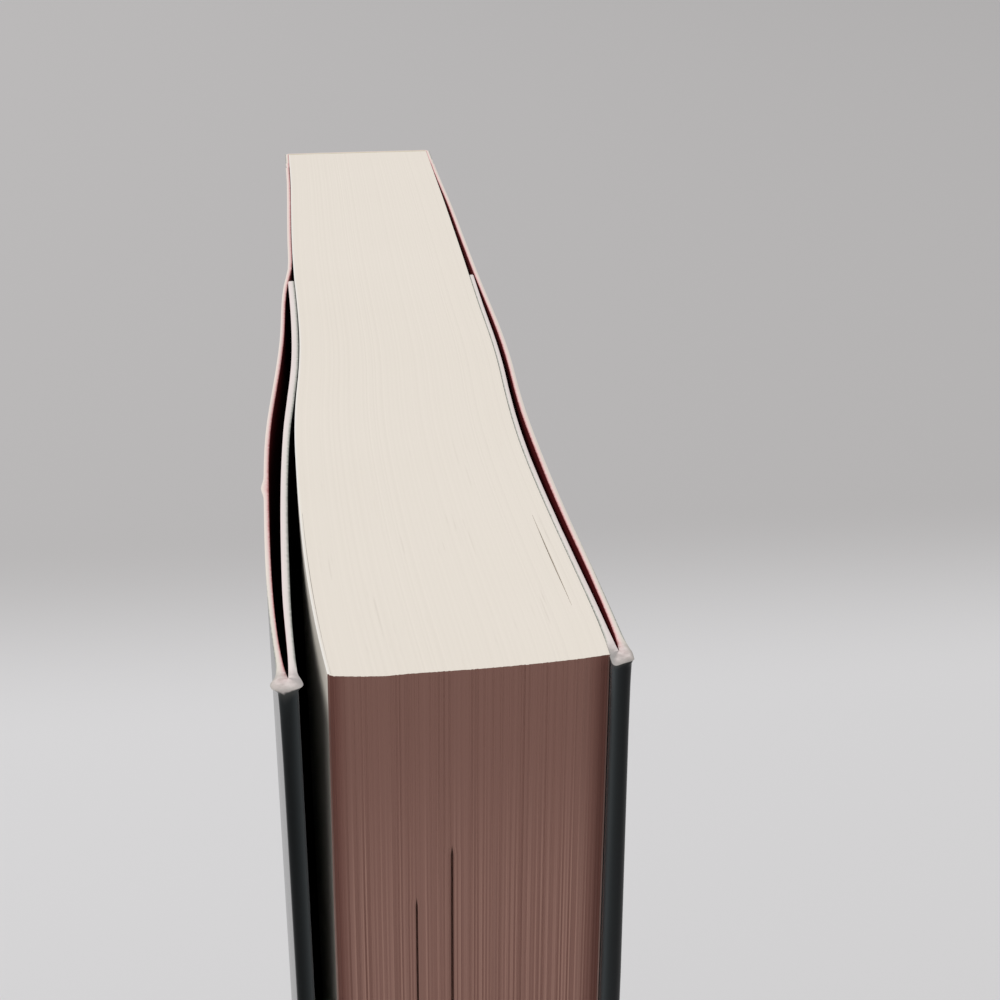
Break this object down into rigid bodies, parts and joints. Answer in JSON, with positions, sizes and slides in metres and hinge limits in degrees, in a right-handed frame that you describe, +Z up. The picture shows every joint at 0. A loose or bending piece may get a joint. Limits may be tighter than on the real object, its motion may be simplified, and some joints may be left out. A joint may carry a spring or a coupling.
{
  "type": "paperback book",
  "caption": "Paperback book standing on its tail, with a slate card cover that is red inside and folds in at the fore-edge as flaps; the covers open on scored hinges beside the spine.",
  "frame": {"origin": "centre of the text block's tail face, where the book stands", "axes": "+Z up from tail to head, +X across the thickness towards the back cover, +Y from the fore-edge towards the spine"},
  "size_m": [0.0245, 0.1422, 0.21],
  "materials": {
    "leaves": "matte uncoated paper, fore-edge stained rose-brown",
    "glue": "set hot-melt glue",
    "cover_card": "satin-matte slate print outside, deep red print inside, pale core on cut edges"
  },
  "bodies": {
    "block": {"text_block": "leaves", "spine_glue": "glue", "spine_wrap": "cover_card"},
    "front_cover": {"front_cover": "cover_card"},
    "back_cover": {"back_cover": "cover_card"}
  },
  "joints": [
    {"name": "front_cover_hinge", "type": "hinge", "parent": "block", "child": "front_cover", "pos_m": [-0.01, 0.0635, 0.105], "axis": [0, 0, -1], "range_deg": [0, 175]},
    {"name": "back_cover_hinge", "type": "hinge", "parent": "block", "child": "back_cover", "pos_m": [0.01, 0.0635, 0.105], "axis": [0, 0, 1], "range_deg": [0, 175]}
  ]
}
